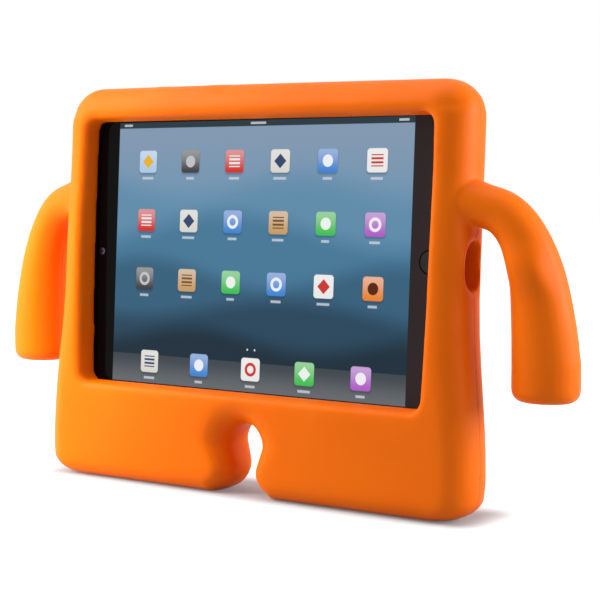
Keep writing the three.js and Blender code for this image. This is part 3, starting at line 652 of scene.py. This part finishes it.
# Steel brackets, board shield and charging socket: thin pressed sheet, bright and drawn
# in one direction.
def drawn_steel():
    material, shader, place = new_material("drawn_steel")
    stretched = place.node("ShaderNodeMapping", {}, {"Vector": place, "Scale": (30.0, 900.0, 900.0)})
    lines = noise(stretched, scale=1.0, detail=3.0, roughness=0.6)
    spots = noise(place, scale=60.0, detail=2.0)
    feed(shader, "Base Color", lines.mix(srgb(150, 152, 154), srgb(176, 178, 180)))
    feed(shader, "Metallic", 1.0)
    feed(shader, "Roughness", lines * 0.15 + spots * 0.08 + 0.22)
    feed(shader, "Normal", bump(place, lines, distance=0.00003, strength=0.4))
    return material


steel = drawn_steel()
for node in (
    "home_button_bracket", "power_button_bracket", "volume_bracket", "board_shield", "charging_socket",
):
    dress(node, steel)


# Cameras, headphone socket and speaker boxes: moulded black plastic with a spark-eroded
# texture.
def black_plastic():
    material, shader, place = new_material("textured_black_plastic")
    texture = noise(place, scale=1400.0, detail=3.0, roughness=0.6)
    cloud = noise(place, scale=50.0, detail=2.0)
    feed(shader, "Base Color", cloud.mix(srgb(18, 18, 20), srgb(28, 28, 31)))
    feed(shader, "Roughness", texture * 0.2 + 0.36)
    feed(shader, "Normal", bump(place, texture, distance=0.00005, strength=0.5))
    return material


plastic = black_plastic()
for node in ("front_camera", "rear_camera", "headphone_socket", "speaker_upper", "speaker_lower"):
    dress(node, plastic)


# Rear camera's lens: a small coated glass dome that sits in the barrel's dish, seen
# through the hole in the back of the foam.
LENS_RADIUS = 0.00155
LENS_RISE = 0.00022
LENS_INSET = 0.00034
LENS_RINGS = 6
TABLET_THICKNESS = 0.0072
CAMERA_X = -0.0915
CAMERA_UP = 0.05885
SCREEN_Z_FRONT = SCREEN_Z + GLASS_HALF_THICKNESS * math.sin(LEAN)


def lens_material():
    material, shader, place = new_material("coated_lens")
    haze = noise(place, scale=300.0, detail=2.0)
    feed(shader, "Base Color", haze.mix(srgb(10, 12, 22), srgb(26, 22, 44)))
    feed(shader, "Roughness", haze * 0.03 + 0.04)
    feed(shader, "Coat Weight", 1.0)
    feed(shader, "Coat Roughness", 0.03)
    return material


def rear_lens():
    work = bmesh.new()
    bmesh.ops.create_circle(work, cap_ends=True, segments=48, radius=LENS_RADIUS)
    face = work.faces[:][0]
    for ring in range(LENS_RINGS):
        bmesh.ops.inset_region(work, faces=[face], thickness=LENS_RADIUS / (LENS_RINGS + 0.6))
        radius = max(v.co.xy.length for v in face.verts)
        rise = LENS_RISE * (1.0 - (radius / LENS_RADIUS) ** 2)
        for v in face.verts:
            v.co.z = rise
    edge = [e for e in work.edges if e.is_boundary]
    skirt = bmesh.ops.extrude_edge_only(work, edges=edge)
    lowered = [v for v in skirt["geom"] if isinstance(v, bmesh.types.BMVert)]
    bmesh.ops.translate(work, verts=lowered, vec=(0.0, 0.0, -0.0001))
    bmesh.ops.holes_fill(work, edges=[e for e in work.edges if e.is_boundary])
    bmesh.ops.recalc_face_normals(work, faces=work.faces)
    for v in work.verts:
        across, up, out = v.co
        depth = TABLET_THICKNESS - LENS_INSET + out
        height = CAMERA_UP + up
        v.co = (
            CAMERA_X - across,
            SCREEN_Y + depth * math.cos(LEAN) + height * math.sin(LEAN),
            SCREEN_Z_FRONT + height * math.cos(LEAN) - depth * math.sin(LEAN),
        )
    mesh = bpy.data.meshes.new("rear_camera_lens")
    work.to_mesh(mesh)
    work.free()
    mesh.shade_smooth()
    mesh.materials.append(lens_material())
    lens = bpy.data.objects.new("rear_camera_lens", mesh)
    bpy.context.scene.collection.objects.link(lens)
    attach(lens, "case_with_tablet")


rear_lens()


# Display panel: a liquid-crystal sheet with a metal-film back, glued up against the glass
# and hidden behind it once the tablet is closed.
def panel_film():
    material, shader, place = new_material("panel_film")
    lines = abs((along(place, 2) / MM).math("FRACT") - 0.5).step(0.5, 0.3)
    ripple = noise(place, scale=18.0, detail=2.0)
    feed(shader, "Base Color", (lines * 0.3 + ripple * 0.4).mix(srgb(34, 40, 48), srgb(70, 80, 92)))
    feed(shader, "Roughness", ripple * 0.15 + 0.28)
    return material


dress("display_panel", panel_film())


# Battery cells: soft laminate pouches, folded and taped at their edges, with faint
# wrinkles in the foil.
def cell_pouch():
    material, shader, place = new_material("cell_pouch_foil")
    creases = noise(place, scale=70.0, detail=5.0, roughness=0.6)
    feed(shader, "Base Color", creases.mix(srgb(44, 47, 52), srgb(76, 80, 86)))
    feed(shader, "Roughness", creases * 0.25 + 0.32)
    feed(shader, "Normal", bump(place, creases, distance=0.0003, strength=0.5))
    return material


pouch = cell_pouch()
for node in ("battery_cell_left", "battery_cell_right"):
    dress(node, pouch)


# Logic board: glass-fibre board under green solder mask, with copper tracks and tinned
# pads, soldered by machine and screwed into the shell.
TRACKS_PER_METRE = 900.0


def solder_mask():
    material, shader, place = new_material("green_solder_mask")
    zone = noise(place, scale=120.0, detail=1.0)
    tracks = abs((along(place, 0) * TRACKS_PER_METRE).math("FRACT") - 0.5).step(0.18, 0.1)
    tracks_up = abs((along(place, 2) * TRACKS_PER_METRE).math("FRACT") - 0.5).step(0.18, 0.1)
    tracks = tracks * zone.step(0.5, 0.54)
    tracks_up = tracks_up * zone.step(0.48, 0.44)
    cells = place.node("ShaderNodeTexVoronoi", {}, {"Vector": place, "Scale": 420.0})
    pads = cells.step(0.16, 0.1)
    copper = tracks.math("MAXIMUM", tracks_up)
    mask = copper.mix(srgb(20, 74, 50), srgb(38, 104, 70))
    feed(shader, "Base Color", pads.mix(mask, srgb(190, 188, 180)))
    feed(shader, "Metallic", pads * 0.9)
    feed(shader, "Roughness", zone * 0.1 + 0.35)
    feed(shader, "Normal", bump(place, copper + pads, distance=0.00004, strength=0.6))
    return material


dress("logic_board", solder_mask())
